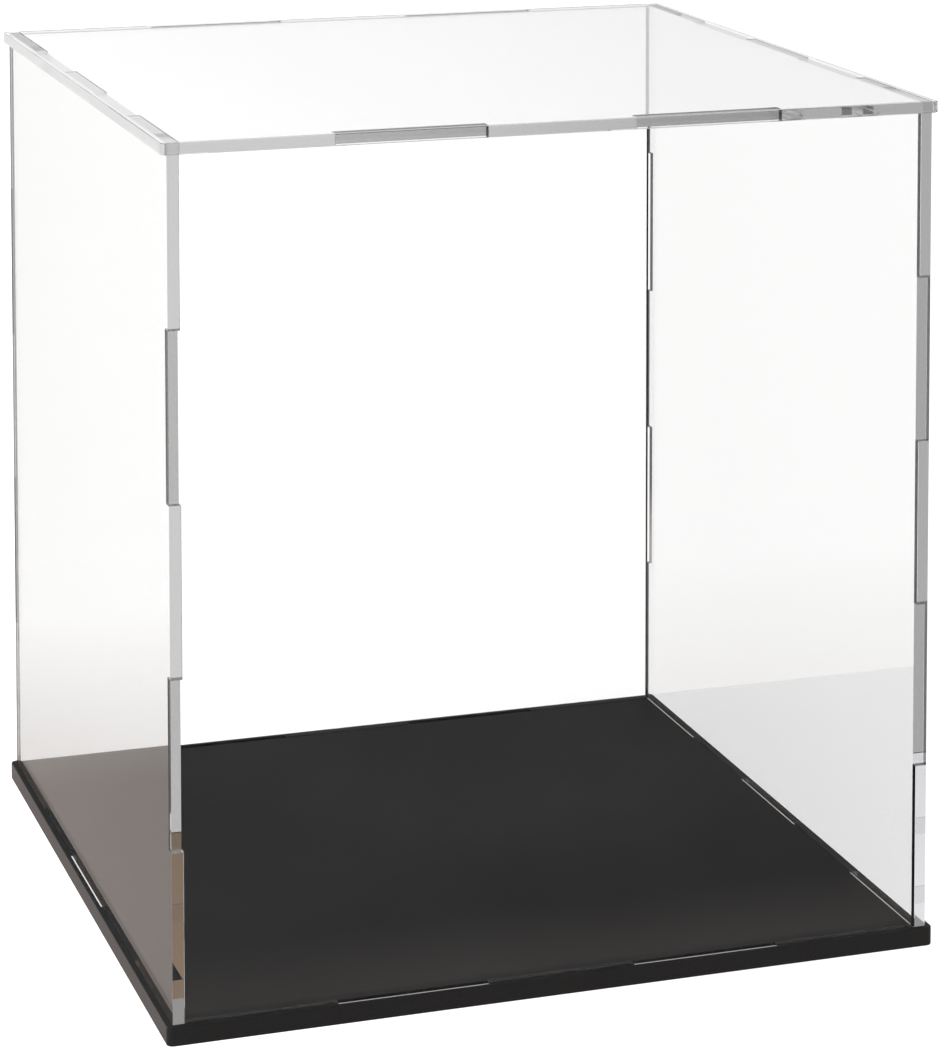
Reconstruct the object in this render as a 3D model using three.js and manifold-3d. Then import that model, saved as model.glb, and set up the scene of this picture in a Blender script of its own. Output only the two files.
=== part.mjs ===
// Display cube. Four clear walls interlock along their upright edges and stand with their lower tabs
// in a black base board; a clear top board drops over the tabs on their upper edges.
// Millimetres, +Z up, the front faces -Y, and the origin is at the centre of the base's underside.
import * as THREE from "three";
import { mergeVertices } from "three/addons/utils/BufferGeometryUtils.js";
import Module from "manifold-3d";

// Sheet stock and the clear space the cube encloses.
const CLEAR_SPAN = 200; // between facing walls, both ways
const WALL_HEIGHT = 220; // from the base's top face to the top board's underside
const CLEAR_SHEET = 3; // walls and top board
const BASE_SHEET = 5;

// Boards: the base and the top.
const BOARD_OVERHANG = 1.7; // past the walls' outer faces, all round
const CORNER_RADIUS = 1.8;
const EDGE_ROUND = 0.3; // softened upper and lower edges
const CURVE_STEPS = 6;
const EDGE_STEPS = 2;

// Joinery: every wall edge is divided into equal segments that the mating pieces take in turn.
const SEGMENTS = 5;
const JOINT_GAP = 0.1; // air left between mating faces
const TAB_RECESS = 0.15; // tab ends stop this far inside the boards' outer faces

const BASE_COLOUR = 0x262626;
const BASE_ROUGHNESS = 0.5;
const CLEAR_COLOUR = 0xf4f6f7;
const CLEAR_ROUGHNESS = 0.03;

const OUTER_SPAN = CLEAR_SPAN + 2 * CLEAR_SHEET;
const BOARD_SPAN = OUTER_SPAN + 2 * BOARD_OVERHANG;
const WALL_TOP = BASE_SHEET + WALL_HEIGHT;

const wasm = await Module();
wasm.setup();

function toSolid(geometry) {
  const bare = geometry.clone();
  bare.deleteAttribute("normal");
  bare.deleteAttribute("uv");
  const merged = mergeVertices(bare, 1e-4);
  return new wasm.Manifold(
    new wasm.Mesh({
      numProp: 3,
      vertProperties: merged.attributes.position.array,
      triVerts: new Uint32Array(merged.index.array),
    }),
  );
}

function toGeometry(solid) {
  const mesh = solid.getMesh();
  const geometry = new THREE.BufferGeometry();
  geometry.setAttribute("position", new THREE.BufferAttribute(mesh.vertProperties, mesh.numProp));
  geometry.setIndex(new THREE.BufferAttribute(mesh.triVerts, 1));
  const flat = geometry.toNonIndexed();
  flat.computeVertexNormals();
  return flat;
}

// True where a piece reaches its full size along segment `index` of an edge. The side walls take the
// odd-numbered segments, ends included, and the front and back walls take the two between them.
const takesSegment = (isSideWall, index) => (index % 2 === 0) === isSideWall;

// The inner segment boundaries of an edge that runs from `from` to `to`.
function boundaries(from, to) {
  const pitch = (to - from) / SEGMENTS;
  return Array.from({ length: SEGMENTS - 1 }, (_, i) => from + (i + 1) * pitch);
}

// One wall's outline: u across its width, v upwards from the base's top face.
function wallOutline(isSideWall) {
  const reach = (index) => (takesSegment(isSideWall, index) ? OUTER_SPAN / 2 : CLEAR_SPAN / 2 - JOINT_GAP);
  const foot = (index) => (takesSegment(isSideWall, index) ? TAB_RECESS - BASE_SHEET : JOINT_GAP);
  const head = (index) => WALL_HEIGHT + (takesSegment(isSideWall, index) ? CLEAR_SHEET - TAB_RECESS : -JOINT_GAP);

  const tabSteps = boundaries(-CLEAR_SPAN / 2, CLEAR_SPAN / 2);
  const fingerSteps = boundaries(0, WALL_HEIGHT).map((v, i) =>
    takesSegment(isSideWall, i) ? v - JOINT_GAP / 2 : v + JOINT_GAP / 2,
  );

  const lower = tabSteps.flatMap((u, i) => [[u, foot(i)], [u, foot(i + 1)]]);
  const upper = tabSteps.flatMap((u, i) => [[u, head(i)], [u, head(i + 1)]]);
  const right = fingerSteps.flatMap((v, i) => [[reach(i), v], [reach(i + 1), v]]);
  const left = right.map(([u, v]) => [-u, v]);

  const loop = [
    [-reach(0), foot(0)],
    ...lower,
    [reach(0), foot(0)],
    ...right,
    [reach(0), head(0)],
    ...upper.reverse(),
    [-reach(0), head(0)],
    ...left.reverse(),
  ];
  return new THREE.Shape(loop.map(([u, v]) => new THREE.Vector2(u, v)));
}

function wallGeometry(isSideWall) {
  return new THREE.ExtrudeGeometry(wallOutline(isSideWall), { depth: CLEAR_SHEET, bevelEnabled: false });
}

// A square board with rounded corners and softened edges, its lower face at z = 0.
function boardBlank(thickness) {
  const half = BOARD_SPAN / 2;
  const centre = half - CORNER_RADIUS;
  const outline = new THREE.Shape();
  const quarter = Math.PI / 2;
  [[1, 1], [-1, 1], [-1, -1], [1, -1]].forEach(([sx, sy], i) => {
    outline.absarc(sx * centre, sy * centre, CORNER_RADIUS, i * quarter, (i + 1) * quarter, false);
  });
  outline.closePath();
  const blank = new THREE.ExtrudeGeometry(outline, {
    depth: thickness - 2 * EDGE_ROUND,
    curveSegments: CURVE_STEPS,
    bevelEnabled: true,
    bevelThickness: EDGE_ROUND,
    bevelSize: EDGE_ROUND,
    bevelOffset: -EDGE_ROUND,
    bevelSegments: EDGE_STEPS,
  });
  return blank.translate(0, 0, EDGE_ROUND);
}

// The slots that take one wall's tabs, for the wall at distance `side` (+1 or -1) along its own axis.
function wallSlots(isSideWall, side, thickness) {
  const breaks = boundaries(-CLEAR_SPAN / 2, CLEAR_SPAN / 2);
  const ends = [-OUTER_SPAN / 2, ...breaks, OUTER_SPAN / 2];
  const slots = [];
  for (let i = 0; i < SEGMENTS; i += 1) {
    if (!takesSegment(isSideWall, i)) continue;
    const length = ends[i + 1] - ends[i] + 2 * JOINT_GAP;
    const width = CLEAR_SHEET + 2 * JOINT_GAP;
    const along = (ends[i] + ends[i + 1]) / 2;
    const across = side * (CLEAR_SPAN + CLEAR_SHEET) / 2;
    const box = isSideWall
      ? new THREE.BoxGeometry(width, length, 3 * thickness).translate(across, along, 0)
      : new THREE.BoxGeometry(length, width, 3 * thickness).translate(along, across, 0);
    slots.push(toSolid(box));
  }
  return slots;
}

function slottedBoard(thickness) {
  const slots = [true, false].flatMap((isSideWall) =>
    [-1, 1].flatMap((side) => wallSlots(isSideWall, side, thickness)),
  );
  const board = slots.reduce((solid, slot) => solid.subtract(slot), toSolid(boardBlank(thickness)));
  return toGeometry(board);
}

const cube = new THREE.Group();
cube.name = "acrylic_display_cube";

function addPiece(name, geometry, colour, roughness) {
  const material = new THREE.MeshStandardMaterial({ color: colour, roughness, metalness: 0 });
  material.name = name;
  const mesh = new THREE.Mesh(geometry, material);
  mesh.name = name;
  cube.add(mesh);
  return mesh;
}

addPiece("base_board", slottedBoard(BASE_SHEET), BASE_COLOUR, BASE_ROUGHNESS);

const topBoard = addPiece("top_board", slottedBoard(CLEAR_SHEET), CLEAR_COLOUR, CLEAR_ROUGHNESS);
topBoard.position.z = WALL_TOP;

// The front and back outlines stand up in the XZ plane, and their thickness runs towards -Y.
const FRONT_AND_BACK = [
  ["front_wall", -CLEAR_SPAN / 2],
  ["back_wall", OUTER_SPAN / 2],
];
for (const [name, y] of FRONT_AND_BACK) {
  const wall = addPiece(name, wallGeometry(false), CLEAR_COLOUR, CLEAR_ROUGHNESS);
  wall.rotation.set(Math.PI / 2, 0, 0);
  wall.position.set(0, y, BASE_SHEET);
}

// The side outlines stand up in the YZ plane, and their thickness runs towards +X.
const SIDES = [
  ["left_wall", -OUTER_SPAN / 2],
  ["right_wall", CLEAR_SPAN / 2],
];
for (const [name, x] of SIDES) {
  const wall = addPiece(name, wallGeometry(true), CLEAR_COLOUR, CLEAR_ROUGHNESS);
  wall.rotation.set(Math.PI / 2, Math.PI / 2, 0);
  wall.position.set(x, 0, BASE_SHEET);
}

export default cube;
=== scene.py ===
import math
from collections import namedtuple

import bpy
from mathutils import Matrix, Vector


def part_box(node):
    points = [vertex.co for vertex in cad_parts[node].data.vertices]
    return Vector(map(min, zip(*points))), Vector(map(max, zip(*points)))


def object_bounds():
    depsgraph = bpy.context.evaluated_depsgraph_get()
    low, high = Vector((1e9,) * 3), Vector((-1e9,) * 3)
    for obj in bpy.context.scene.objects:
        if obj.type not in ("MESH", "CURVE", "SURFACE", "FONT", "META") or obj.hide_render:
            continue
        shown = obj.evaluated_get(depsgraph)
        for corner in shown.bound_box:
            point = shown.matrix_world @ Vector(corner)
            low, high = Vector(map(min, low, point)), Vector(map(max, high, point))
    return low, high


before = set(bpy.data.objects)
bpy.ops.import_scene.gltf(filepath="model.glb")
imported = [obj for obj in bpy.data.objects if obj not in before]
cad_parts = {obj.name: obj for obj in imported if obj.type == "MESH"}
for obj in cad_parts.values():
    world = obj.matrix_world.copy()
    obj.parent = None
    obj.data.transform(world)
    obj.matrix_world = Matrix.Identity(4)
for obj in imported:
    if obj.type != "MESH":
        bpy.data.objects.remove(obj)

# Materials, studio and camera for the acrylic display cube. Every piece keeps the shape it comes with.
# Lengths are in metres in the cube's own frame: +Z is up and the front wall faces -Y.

CAD_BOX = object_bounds()
SIDE_WALLS = ("left_wall", "right_wall")
FRONT_AND_BACK = ("front_wall", "back_wall")

# The joinery: distances from the cube's centre lines, and the height of the base board's top
OUTER_FACE = -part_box("left_wall")[0].x
INNER_FACE = -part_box("left_wall")[1].x
MID_SHEET = (INNER_FACE + OUTER_FACE) / 2
BOARD_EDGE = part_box("base_board")[1].x
BOARD_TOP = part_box("base_board")[1].z
SEGMENT_ENDS = (0.02, 0.06)  # an edge's second and fourth segments, of five, lie between these
PAST = 0.001  # this far to one side of a face is clearly off it
NEAR = 0.00025  # this close to a face counts as on it
JOINT_SHADE_LINE = (0.0988, 0.0994)  # painted shade: a dark line beside the joint lies between these
CONTACT = 0.0003  # a foot this close to the base board rests on it

# Camera: the sensor's length lies along the picture's height, and the lens is shifted down.
CAMERA_AT = Vector((-0.30419, -0.97288, 0.37904))
CAMERA_YAW = 18.508
CAMERA_PITCH = 4.4725
CAMERA_CLIP = (0.05, 60)
SAME_PLACE = 0.0001
SENSOR_MM = 36
LENS_MM = 125.46
LENS_SHIFT = {"shift_x": -0.0410, "shift_y": -0.6798}

# Light. A span is measured along one axis of a direction, and its two tones belong to its two ends.
LAMP_SPAN = (-1.0, 0.2)
LAMP_TONES = (0.75, 1.18)
LEFT_LAMP_SPAN = (-0.8, -1.0)
LEFT_LAMP_TONES = (0.0, 3.2)
WHITE_SPAN = (0.2, 0.36)
WHITE_TONES = (1.45, 1.21)
ROOM_HEIGHT_SPAN = (0.0, 0.7)
ROOM_HEIGHT_TONES = (0.86, 1.35)
ROOM_FRONT_SPAN = (-1.0, 0.0)
ROOM_FRONT_TONES = (0.15, 0.6)  # for a ray that was just mirrored, and for one that passed through
ROOM_RIGHT_SPAN = (0.1, 0.6)
ROOM_RIGHT_TONES = (1.0, 0.8)
GUIDED_SPAN = (0.30, 0.42)
GUIDED_TONES = (0.80, 0.58)
WHITE_LIGHT = (1, 1, 1, 1)
LIGHT_BOUNCES = 48

# Floor. Its spans run from the front to the back of the room.
FLOOR_HALF = 12.0
FLOOR_COLOUR = (0.93, 0.93, 0.93, 1)
FLOOR_GLOW = 0.8
FLOOR_IN_GLASS = (0.42, 0.372, 0.348, 1)
FAR_FLOOR_IN_GLASS = (0.80, 0.79, 0.78, 1)
FAR_FLOOR_SPAN = (0.09, 0.26)
FRONT_FLOOR_SPAN = (-0.16, -0.09)
FRONT_FLOOR_TONES = (0.1, 1.0)

# Limits for masks. The last four ask whether a ray has been mirrored once, twice, three or four times.
FACING = 0.5  # a face that looks along an axis has more than this much of its normal along it
SCATTERED = 0.5
MIRRORED = 0.5
TWICE_MIRRORED = 1.5
LED = 2.5
GUIDED = 3.5

# Black board. A noise is given as its scale, its detail and, unless that is one half, its roughness.
NOISE_SPAN = (0.3, 0.7)
CLOUD_NOISE = (9.0, 3.0)
CLOUD_ROUGHNESS = (0.45, 0.55)
GRAIN_NOISE = (2600.0, 2.0)
GRAIN_TONES = (0.015, 0.019)
GRAIN_STRENGTH = 0.04
GRAIN_HEIGHT = 0.00003
FACE_GLOSS = 0.03
EDGE_GLOSS = 0.3
EDGE_ROUGHNESS = 0.2
SLOT_TONE = 0.05
# Painted highlights: pale lines along the slots' lips on the top face, each drawn on the side of its slot
# picked by where the eye is
LIP_WIDTH = 0.0005
LIP_HIGHLIGHT_TONE = 0.7
BRIGHT_LIP_HIGHLIGHT_TONE = 0.95

# What a slot gives back to light led down a sheet, painted as a glow: brown along the cube, grey across it.
# The span runs along the x axis of a direction in air, from light that travels along the cube to light
# across it.
ACROSS_SPAN = (0.26, 0.39)
BROWN_GLOW = (0.25, 0.185, 0.135, 1)
GREY_GLOW = (0.80, 0.80, 0.82, 1)
IN_SLOT_GLOW = (0.30, 0.29, 0.29, 1)

# Clear acrylic
ACRYLIC_IOR = 1.49
CRITICAL = math.sqrt(1 - ACRYLIC_IOR ** -2)
ABSORPTION_COLOUR = (0.50, 0.50, 0.50, 1)
ABSORPTION_DENSITY = 1.0
SHEET_TINT = 0.99
# Painted shade: the faces hidden in the joints are darkened, for some sheets by an amount that depends on
# the sight line
NOTCH_SHADE = 0.60
LEVEL_NOTCH_SHADE = 0.85
STEEP = 0.4  # a sight line that rises by more than this much of its length isn't level
SIDE_NOTCH_SHADES = (0.71, 1.0)  # along the cube, and across it
WAVE_NOISE = (18.0, 1.0)
WAVE_STRENGTH = 0.02
WAVE_HEIGHT = 0.0004
SCRATCH_STRETCH = (40, 900, 1300)
SCRATCH_NOISE = (1.0, 3.0, 0.7)
SCRATCH_SPAN = (0.66, 0.74)
SCRATCH_ROUGHNESS = (0.004, 0.054)

# The tone a cut edge gives to what it mirrors inside the sheet: a darkened mirror that paints shade on the
# edges
CUT_END = 0.2
EDGE_END = 0.45
FOOT_END = 0.04
RIM_END = (0.85, 0.95)  # the front and back rims, and the left and right ones
END_ROUGHNESS = 0.02

# Painted light: the glow that the cut edges give off
RIM_GLOW = 0.93
RIM_GLOW_SHARE = 0.6
FAR_END_GLOW_TONES = (0.69, 0.47)  # along the cube, and across it


class Nodes:
    """Adds shader nodes to a tree, each linked or set by keyword."""

    def __init__(self, tree):
        self.tree = tree
        tree.nodes.clear()

    def add(self, kind, settings=None, **inputs):
        """A keyword is the input's label, or an underscore and its number."""
        node = self.tree.nodes.new(kind)
        for key, value in (settings or {}).items():
            setattr(node, key, value)
        for key, value in inputs.items():
            socket = node.inputs[int(key[1:])] if key[0] == "_" else node.inputs[key.replace("_", " ")]
            if isinstance(value, bpy.types.NodeSocket):
                self.tree.links.new(value, socket)
            else:
                socket.default_value = value
        return node

    def math(self, operation, a, b=0.0):
        return self.add("ShaderNodeMath", {"operation": operation}, _0=a, _1=b).outputs[0]

    def ramp(self, value, low, high, to_low=0.0, to_high=1.0):
        ends = {"From_Min": low, "From_Max": high, "To_Min": to_low, "To_Max": to_high}
        return self.add("ShaderNodeMapRange", {"clamp": True}, Value=value, **ends).outputs[0]

    def mix(self, share, low, high):
        return self.add("ShaderNodeMix", _0=share, _2=low, _3=high).outputs[0]

    def blend(self, share, low, high):
        return self.add("ShaderNodeMix", {"data_type": "RGBA"}, _0=share, _6=low, _7=high).outputs[2]

    def layer(self, share, below, above):
        return self.add("ShaderNodeMixShader", _0=share, _1=below, _2=above).outputs[0]

    def grey(self, tone):
        return self.add("ShaderNodeCombineColor", Red=tone, Green=tone, Blue=tone).outputs[0]

    def emit(self, colour, strength=1.0):
        return self.add("ShaderNodeEmission", Color=colour, Strength=strength).outputs[0]

    def axes(self, vector):
        return self.add("ShaderNodeSeparateXYZ", Vector=vector).outputs

    def noise(self, vector, scale, detail, roughness=0.5):
        inputs = {"Vector": vector, "Scale": scale, "Detail": detail, "Roughness": roughness}
        return self.add("ShaderNodeTexNoise", **inputs).outputs["Fac"]

    def bump(self, height, strength, distance):
        return self.add("ShaderNodeBump", Height=height, Strength=strength, Distance=distance).outputs[0]

    def path(self):
        return self.add("ShaderNodeLightPath").outputs

    def size(self, value):
        return self.math("ABSOLUTE", value)

    def above(self, value, limit):
        return self.math("GREATER_THAN", value, limit)

    def below(self, value, limit):
        return self.math("LESS_THAN", value, limit)

    def between(self, value, low, high):
        return self.both(self.above(value, low), self.below(value, high))

    def flip(self, mask):
        return self.math("SUBTRACT", 1.0, mask)

    def both(self, *masks):
        product = masks[0]
        for mask in masks[1:]:
            product = self.math("MULTIPLY", product, mask)
        return product

    def either(self, *masks):
        most = masks[0]
        for mask in masks[1:]:
            most = self.math("MAXIMUM", most, mask)
        return most

    def sight(self):
        """Masks for rays that come straight or through glass, for mirrored ones and for guided ones."""
        path = self.path()
        seen = self.below(path["Diffuse Depth"], SCATTERED)
        through = self.both(path["Is Transmission Ray"], seen)
        turned = self.above(path["Glossy Depth"], MIRRORED)
        reflected = self.both(path["Is Reflection Ray"], seen, self.flip(path["Is Diffuse Ray"]))
        direct = self.either(path["Is Camera Ray"], self.both(through, self.flip(turned)))
        mirrored = self.either(reflected, self.both(through, turned))
        guided = self.both(through, self.above(path["Glossy Depth"], GUIDED))
        return direct, mirrored, guided


class Hit:
    """Where a ray meets a piece: the place, the way its face points, and the side the ray is on."""

    def __init__(self, n):
        geometry = n.add("ShaderNodeNewGeometry").outputs
        normal = geometry["True Normal"]
        incoming = geometry["Incoming"]
        self.coords = n.add("ShaderNodeTexCoord").outputs["Object"]
        self.x, self.y, _ = n.axes(self.coords)
        self.wide, self.deep = n.size(self.x), n.size(self.y)
        self.height = n.axes(geometry["Position"])[2]
        self.to_eye = n.axes(incoming)
        self.on_x, self.on_y, self.on_z = (n.above(n.size(part), FACING) for part in n.axes(normal))
        self.inside = geometry["Backfacing"]
        self.outside = n.flip(self.inside)
        tilt = n.add("ShaderNodeVectorMath", {"operation": "DOT_PRODUCT"}, _0=incoming, _1=normal)
        # Past the critical angle a face mirrors everything from inside.
        self.total = n.both(self.inside, n.below(n.size(tilt.outputs["Value"]), CRITICAL))


def new_material(name):
    material = bpy.data.materials.new(name)
    material.use_nodes = True
    material.cycles.emission_sampling = "NONE"
    return material, Nodes(material.node_tree)


def across(n, to_eye, index=1.0):
    """From 0 for light along the cube to 1 for light across it, in a medium of that refractive index."""
    low, high = (limit / index for limit in ACROSS_SPAN)
    return n.ramp(n.size(to_eye[0]), low, high)


# The colour of the painted glow that a slot gives back, from brown along the cube to grey across it
def painted_glow_colour(n, to_eye, index=1.0):
    return n.blend(across(n, to_eye, index), BROWN_GLOW, GREY_GLOW)


def far_end_glow(n, hit, faces):
    """Where light guided along the cube meets the far end of a sheet, and the plain tone it leaves in,
    painted there as a glow.
    """
    guided = n.above(n.path()["Glossy Depth"], GUIDED)
    above_board = n.above(hit.height, BOARD_TOP + CONTACT)
    mask = n.both(hit.inside, guided, faces, n.above(hit.deep, INNER_FACE - PAST), above_board)
    return mask, n.mix(across(n, hit.to_eye, ACRYLIC_IOR), *FAR_END_GLOW_TONES)


# A sheet's tint with painted shade on its notches, the mask of its cut edges that mirror darkly as painted
# shade and their tone, and the share and tone of the painted light given off
Cuts = namedtuple("Cuts", "tint dull tone glow light")


def top_board_cuts(n, hit):
    upright = n.flip(hit.on_z)
    beyond_walls = n.either(n.above(hit.wide, OUTER_FACE + PAST), n.above(hit.deep, OUTER_FACE + PAST))
    rim = n.both(upright, beyond_walls)
    notch = n.both(upright, n.flip(rim))
    # Painted shade on the notches, lighter for a level sight line
    level = n.both(hit.on_y, n.below(n.size(hit.to_eye[2]), STEEP))
    tint = n.mix(notch, SHEET_TINT, n.mix(level, NOTCH_SHADE, LEVEL_NOTCH_SHADE))
    # Painted light: the left and right rims glow when seen from outside
    glow = n.both(rim, hit.on_x, hit.outside, RIM_GLOW_SHARE)
    far, far_glow_tone = far_end_glow(n, hit, hit.on_y)
    light = n.mix(far, RIM_GLOW, far_glow_tone)
    return Cuts(tint, n.both(rim, hit.total), n.mix(hit.on_x, *RIM_END), n.either(glow, far), light)


def side_wall_cuts(n, hit):
    finger = n.above(hit.deep, INNER_FACE + PAST)
    notch = n.both(hit.on_y, n.flip(finger))
    # Painted shade on the notches, darker for sight along the cube
    tint = n.mix(notch, SHEET_TINT, n.mix(across(n, hit.to_eye), *SIDE_NOTCH_SHADES))
    # Painted shade: cut edges and sheet ends mirror darkly from inside
    dull = n.both(hit.total, n.either(hit.on_z, n.both(hit.on_y, finger)))
    return Cuts(tint, dull, EDGE_END, *far_end_glow(n, hit, n.either(hit.on_y, hit.on_z)))


def front_wall_cuts(n, hit):
    finger = n.above(hit.wide, INNER_FACE + PAST)
    # Painted shade on the notches
    tint = n.mix(n.both(hit.on_x, n.flip(finger)), SHEET_TINT, NOTCH_SHADE)
    # Painted shade: cut edges mirror darkly from inside
    cut = n.both(n.either(hit.on_x, hit.on_z), hit.total)
    # From outside, a finger's end is painted dark on the half farther from the eye, as painted shade.
    to_middle = n.math("SUBTRACT", n.math("MULTIPLY", n.math("SIGN", hit.y), MID_SHEET), hit.y)
    farther = n.above(n.math("MULTIPLY", to_middle, n.math("SIGN", hit.to_eye[1])), 0.0)
    finger_tip_shade = n.both(hit.on_x, hit.outside, n.above(hit.wide, OUTER_FACE - NEAR), farther)
    # A thin dark line of painted shade runs beside the joint on the inner face, on the side away from the
    # eye.
    inner_face = n.both(hit.on_y, n.between(hit.deep, INNER_FACE - NEAR, INNER_FACE + NEAR))
    far_side = n.below(n.math("MULTIPLY", hit.x, hit.to_eye[0]), 0.0)
    joint_shade_line = n.both(inner_face, hit.outside, n.between(hit.wide, *JOINT_SHADE_LINE), far_side)
    pale = n.both(hit.inside, n.either(finger, hit.on_z))
    return Cuts(tint, n.either(cut, finger_tip_shade, joint_shade_line), n.mix(pale, CUT_END, EDGE_END), 0.0, 0.0)


def sheet_surface(n, coords, tint):
    """Polished, very slightly wavy acrylic with fine scratches."""
    stretched = n.add("ShaderNodeMapping", Vector=coords, Scale=SCRATCH_STRETCH).outputs[0]
    scratches = n.noise(stretched, *SCRATCH_NOISE)
    waves = n.noise(coords, *WAVE_NOISE)
    return n.add("ShaderNodeBsdfPrincipled",
                 Base_Color=n.grey(tint),
                 Roughness=n.ramp(scratches, *SCRATCH_SPAN, *SCRATCH_ROUGHNESS),
                 Normal=n.bump(waves, WAVE_STRENGTH, WAVE_HEIGHT),
                 IOR=ACRYLIC_IOR,
                 Transmission_Weight=1.0).outputs[0]


def clear_acrylic(name, cuts_of):
    material, n = new_material(name)
    hit = Hit(n)
    cuts = cuts_of(n, hit)
    # A foot on the base board mirrors next to none of the room, as painted shade. It shows the slots' light
    # to rays led to it as a painted glow.
    foot = n.both(hit.on_z, hit.total, n.below(hit.height, BOARD_TOP + CONTACT))
    led = n.above(n.path()["Glossy Depth"], LED)
    in_slot = n.below(hit.height, BOARD_TOP - PAST)
    foot_glow_colour = n.blend(led, IN_SLOT_GLOW, painted_glow_colour(n, hit.to_eye, ACRYLIC_IOR))
    light = n.emit(n.blend(foot, n.grey(cuts.light), foot_glow_colour))
    tone = n.grey(n.mix(foot, cuts.tone, FOOT_END))
    # Painted shade: masked cut edges mirror only their given tone of what they see inside the sheet
    dull = n.add("ShaderNodeBsdfGlossy", Color=tone, Roughness=END_ROUGHNESS).outputs[0]
    surface = n.layer(n.either(cuts.dull, foot), sheet_surface(n, hit.coords, cuts.tint), dull)
    # Painted light: the glow of the feet and of the cut edges is laid over the surface
    surface = n.layer(n.either(n.both(foot, n.either(led, in_slot)), cuts.glow), surface, light)
    body = n.add("ShaderNodeVolumeAbsorption", Color=ABSORPTION_COLOUR, Density=ABSORPTION_DENSITY)
    n.add("ShaderNodeOutputMaterial", Surface=surface, Volume=body.outputs[0])
    return material


def same_side(n, place, to_eye):
    """1 on the eye's side of the board's middle, and -1 on the other side."""
    return n.math("MULTIPLY", n.math("SIGN", place), n.math("SIGN", to_eye))


def outer_lip_highlight(n, place, to_eye):
    """The painted highlight on the lip outside a row of slots, drawn only where the row is on the eye's
    side.
    """
    band = n.between(n.size(place), OUTER_FACE, OUTER_FACE + LIP_WIDTH)
    return n.both(band, n.above(same_side(n, place, to_eye), 0.0))


def inner_lip_highlight(n, place, to_eye):
    """The painted highlight on the lip inside a row of slots, drawn only where the row is on the side away
    from the eye.
    """
    band = n.between(n.size(place), INNER_FACE - LIP_WIDTH, INNER_FACE)
    return n.both(band, n.below(same_side(n, place, to_eye), 0.0))


def slot_lip_highlights(n, hit):
    """Masks for the painted highlights on the slots' lips, plain ones and bright ones."""
    middle = n.below(hit.deep, SEGMENT_ENDS[0])
    side_slots = n.either(middle, n.between(hit.deep, SEGMENT_ENDS[1], OUTER_FACE))
    front_slots = n.between(hit.wide, *SEGMENT_ENDS)
    side_lip_highlights = n.both(side_slots, inner_lip_highlight(n, hit.x, hit.to_eye[0]))
    front_lip_highlights = n.both(front_slots, outer_lip_highlight(n, hit.y, hit.to_eye[1]))
    return n.either(side_lip_highlights, front_lip_highlights), n.both(middle, outer_lip_highlight(n, hit.x, hit.to_eye[0]))


def black_acrylic(name):
    material, n = new_material(name)
    hit = Hit(n)
    inboard = n.both(n.below(hit.wide, BOARD_EDGE - PAST), n.below(hit.deep, BOARD_EDGE - PAST))
    upright = n.flip(hit.on_z)
    slot, edge = n.both(upright, inboard), n.both(upright, n.flip(inboard))
    # Painted highlights on the slots' lips, on the top face only
    lip_highlight, bright_lip_highlight = (n.both(mask, hit.on_z) for mask in slot_lip_highlights(n, hit))
    grain = n.noise(hit.coords, *GRAIN_NOISE)
    cloud = n.noise(hit.coords, *CLOUD_NOISE)
    tone = n.mix(slot, n.ramp(grain, *NOISE_SPAN, *GRAIN_TONES), SLOT_TONE)
    tone = n.mix(bright_lip_highlight, n.mix(lip_highlight, tone, LIP_HIGHLIGHT_TONE), BRIGHT_LIP_HIGHLIGHT_TONE)
    shader = n.add("ShaderNodeBsdfPrincipled",
                   Base_Color=n.grey(tone),
                   Roughness=n.mix(edge, n.ramp(cloud, *NOISE_SPAN, *CLOUD_ROUGHNESS), EDGE_ROUGHNESS),
                   Specular_IOR_Level=n.mix(edge, FACE_GLOSS, EDGE_GLOSS),
                   Normal=n.bump(grain, GRAIN_STRENGTH, GRAIN_HEIGHT),
                   # Painted light: the slots' walls glow in these colours for rays mirrored twice or more
                   Emission_Color=painted_glow_colour(n, hit.to_eye),
                   Emission_Strength=n.both(slot, n.above(n.path()["Glossy Depth"], TWICE_MIRRORED)))
    n.add("ShaderNodeOutputMaterial", Surface=shader.outputs[0])
    return material


def dress(node, material):
    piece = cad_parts[node]
    piece.data.materials.clear()
    piece.data.materials.append(material)


def room_tone(n, direction):
    """The room as the sheets mirror it: brighter overhead, darker in front of the cube and to its right."""
    x, y, z = direction
    in_front = n.mix(n.path()["Is Transmission Ray"], *ROOM_FRONT_TONES)
    in_front = n.mix(n.ramp(y, *ROOM_FRONT_SPAN), in_front, 1.0)
    overhead = n.ramp(z, *ROOM_HEIGHT_SPAN, *ROOM_HEIGHT_TONES)
    return n.both(overhead, in_front, n.ramp(x, *ROOM_RIGHT_SPAN, *ROOM_RIGHT_TONES))


def studio_light():
    world = bpy.data.worlds.new("studio")
    world.use_nodes = True
    bpy.context.scene.world = world
    n = Nodes(world.node_tree)
    direction = n.axes(n.add("ShaderNodeTexCoord").outputs["Generated"])
    x, y, _ = direction
    direct, mirrored, guided = n.sight()
    lamps = n.math("ADD", n.ramp(y, *LAMP_SPAN, *LAMP_TONES), n.ramp(x, *LEFT_LAMP_SPAN, *LEFT_LAMP_TONES))
    strength = n.mix(direct, lamps, n.ramp(x, *WHITE_SPAN, *WHITE_TONES))
    strength = n.mix(mirrored, strength, room_tone(n, direction))
    strength = n.mix(guided, strength, n.ramp(n.size(x), *GUIDED_SPAN, *GUIDED_TONES))
    light = n.add("ShaderNodeBackground", Color=WHITE_LIGHT, Strength=strength)
    n.add("ShaderNodeOutputWorld", Surface=light.outputs[0])


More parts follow.
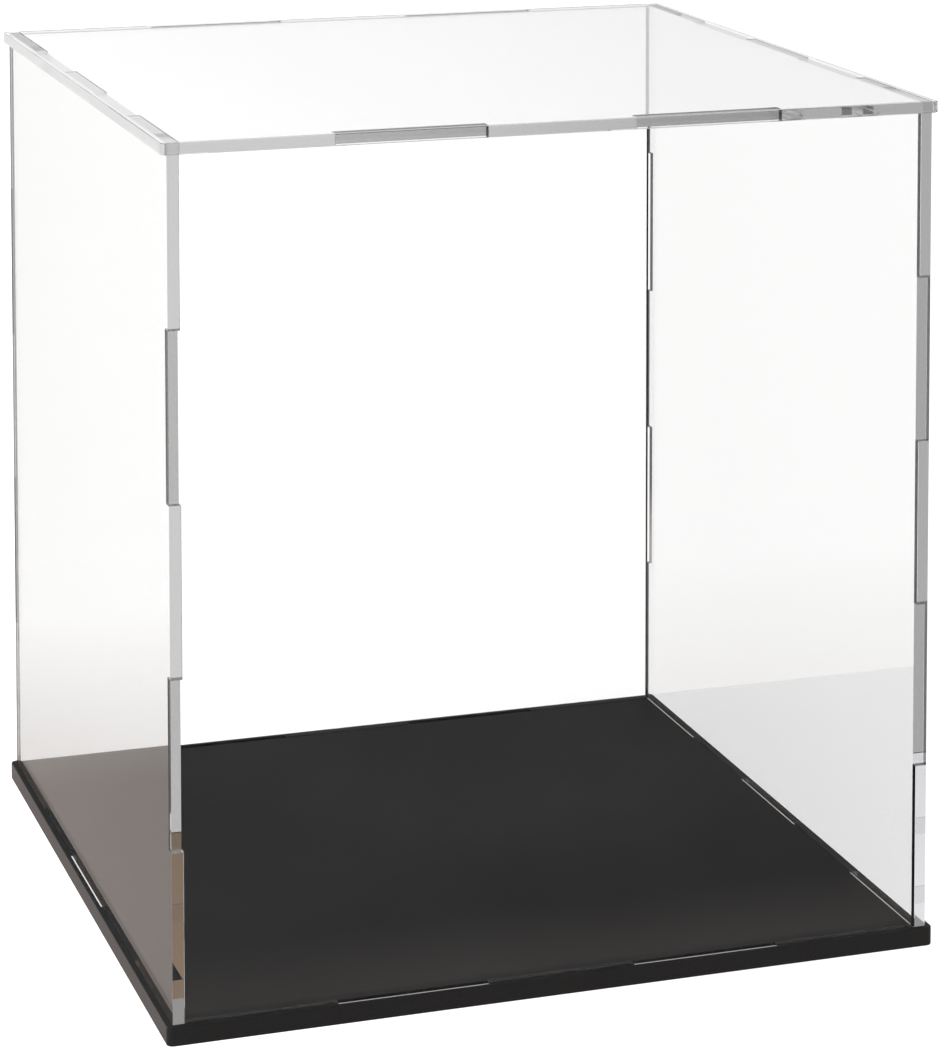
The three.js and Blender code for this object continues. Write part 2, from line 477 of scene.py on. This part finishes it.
def floor_paint():
    """White paper to the eye, darker where the sheets mirror it."""
    material, n = new_material("floor")
    direct, mirrored, guided = n.sight()
    geometry = n.add("ShaderNodeNewGeometry").outputs
    away = n.math("MULTIPLY", n.axes(geometry["Incoming"])[0], -1.0)
    y = n.axes(geometry["Position"])[1]
    paper = n.add("ShaderNodeBsdfDiffuse", Color=FLOOR_COLOUR).outputs[0]
    white = n.emit(WHITE_LIGHT, n.ramp(away, *WHITE_SPAN, *WHITE_TONES))
    colour = n.blend(n.ramp(y, *FAR_FLOOR_SPAN), FLOOR_IN_GLASS, FAR_FLOOR_IN_GLASS)
    dim = n.emit(colour, n.ramp(y, *FRONT_FLOOR_SPAN, *FRONT_FLOOR_TONES))
    led = n.emit(WHITE_LIGHT, n.ramp(n.size(away), *GUIDED_SPAN, *GUIDED_TONES))
    seen = n.layer(n.both(direct, FLOOR_GLOW), paper, white)
    n.add("ShaderNodeOutputMaterial", Surface=n.layer(mirrored, seen, n.layer(guided, dim, led)))
    return material


def pale_floor():
    mesh = bpy.data.meshes.new("floor")
    half, z = FLOOR_HALF, CAD_BOX[0].z
    corners = [(-half, -half, z), (half, -half, z), (half, half, z), (-half, half, z)]
    mesh.from_pydata(corners, [], [(0, 1, 2, 3)])
    mesh.materials.append(floor_paint())
    floor = bpy.data.objects.new("floor", mesh)
    bpy.context.scene.collection.objects.link(floor)


def hero_camera():
    data = bpy.data.cameras.new("camera")
    camera = bpy.data.objects.new("camera", data)
    bpy.context.scene.collection.objects.link(camera)
    bpy.context.scene.camera = camera
    camera.location = CAMERA_AT
    camera.rotation_euler = (math.radians(90 - CAMERA_PITCH), 0, math.radians(-CAMERA_YAW))
    data.sensor_width = SENSOR_MM
    data.lens = LENS_MM
    data.clip_start, data.clip_end = CAMERA_CLIP
    # The shift holds only where this camera stands: a view from elsewhere is centred by its own aim.
    for path, value in LENS_SHIFT.items():
        driver = data.driver_add(path).driver
        at = driver.variables.new()
        at.name = "at"
        at.targets[0].id = camera
        at.targets[0].data_path = "location[0]"
        driver.expression = f"{value} if abs(at - {CAMERA_AT.x:.5f}) < {SAME_PLACE} else 0"


def picture_settings():
    scene = bpy.context.scene
    scene.view_settings.view_transform = "Standard"
    for kind in ("max_bounces", "transmission_bounces", "glossy_bounces"):
        setattr(scene.cycles, kind, LIGHT_BOUNCES)


for wall in FRONT_AND_BACK:
    dress(wall, clear_acrylic("clear_" + wall, front_wall_cuts))
for wall in SIDE_WALLS:
    dress(wall, clear_acrylic("clear_" + wall, side_wall_cuts))
dress("top_board", clear_acrylic("clear_top_board", top_board_cuts))
dress("base_board", black_acrylic("black_base_board"))
studio_light()
pale_floor()
hero_camera()
picture_settings()
